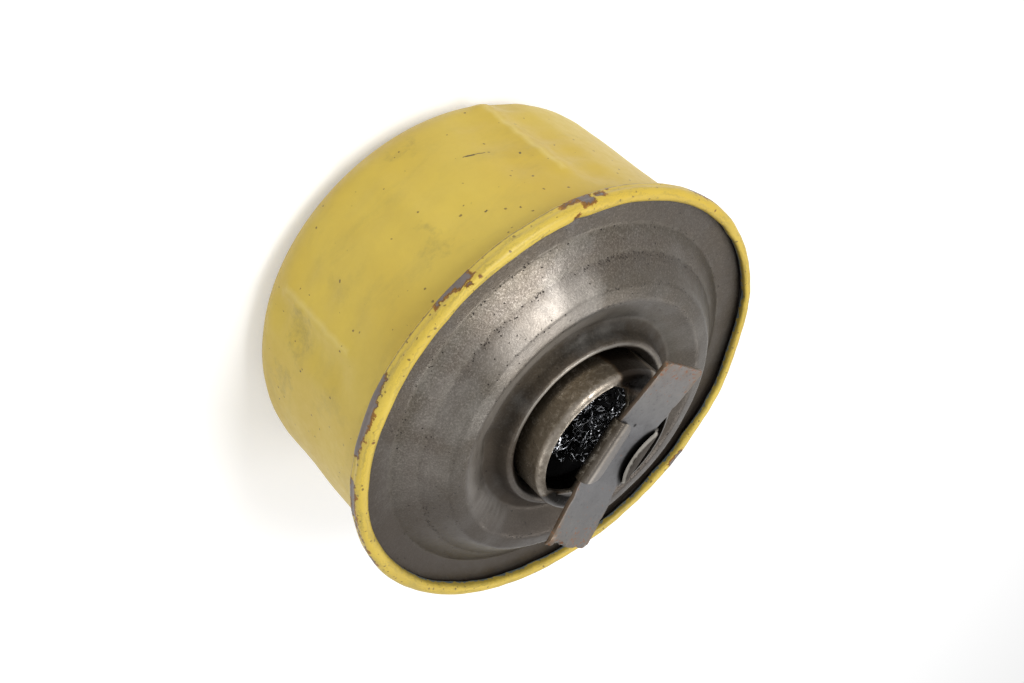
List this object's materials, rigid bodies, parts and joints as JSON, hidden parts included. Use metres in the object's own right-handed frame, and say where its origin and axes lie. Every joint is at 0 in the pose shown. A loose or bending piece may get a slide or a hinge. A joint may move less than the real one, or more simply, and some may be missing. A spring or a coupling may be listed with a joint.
{
  "type": "oil filler cap",
  "caption": "Vented oil filler cap: painted drum, stepped steel base plate, short neck with a bowed twist-lock strip, and wire packing inside.",
  "frame": {"origin": "centre of the closed top's outer face, on which the cap stands", "axes": "+Z along the cap's axis from the closed top towards the neck, +X along the locking strip, +Y across it on the side of the lug that is pressed flat"},
  "size_m": [0.1, 0.1, 0.0684],
  "materials": {
    "yellow_paint": "chipped gloss paint",
    "plate_steel": "bare and stained",
    "neck_steel": "bare and worn",
    "plated_strip": "dull plating",
    "packing_wire": "bright oily wire"
  },
  "bodies": {
    "root": {"outer_cover": "yellow_paint", "base_plate": "plate_steel", "neck_cup": "neck_steel", "locking_strip": "plated_strip", "wire_packing": "packing_wire"}
  },
  "joints": []
}
